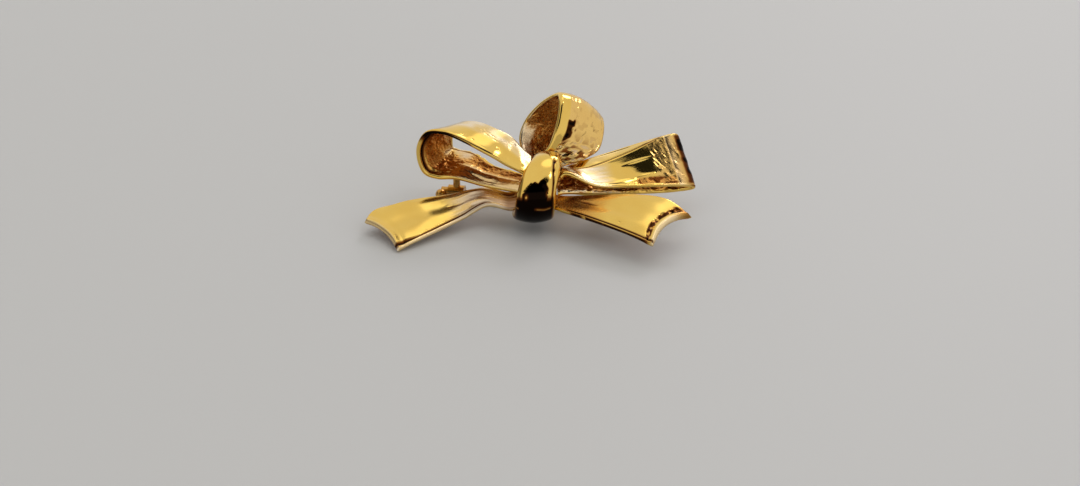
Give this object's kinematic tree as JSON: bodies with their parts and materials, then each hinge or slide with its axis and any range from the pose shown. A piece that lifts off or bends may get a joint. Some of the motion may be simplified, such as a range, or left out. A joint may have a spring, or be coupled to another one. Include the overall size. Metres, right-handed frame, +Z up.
{
  "type": "bow brooch",
  "caption": "Gold-plated ribbon bow brooch with open loops, spread tails, a domed knot and a pin with a safety catch.",
  "frame": {"origin": "middle of the brooch's outline on the surface that it lies on", "axes": "+X along the bow to the viewer's right, +Y away from the tails, +Z up from the surface"},
  "size_m": [0.059, 0.03, 0.0207],
  "materials": {
    "gold": "polished gold plate",
    "old_gold": "satin gold plate on the findings"
  },
  "bodies": {
    "brooch": {"left_loop": "gold", "right_loop": "gold", "back_loop": "gold", "left_tail": "gold", "right_tail": "gold", "knot": "gold", "catch_barrel": "old_gold", "pin": "old_gold"},
    "catch_sleeve": {"catch_roller": "gold"}
  },
  "joints": [
    {"name": "catch_turn", "type": "hinge", "parent": "brooch", "child": "catch_sleeve", "pos_m": [-0.01371, 0.00931, 0.0014], "axis": [-0.9858, 0.1678, 0], "range_deg": [0, 90]}
  ]
}
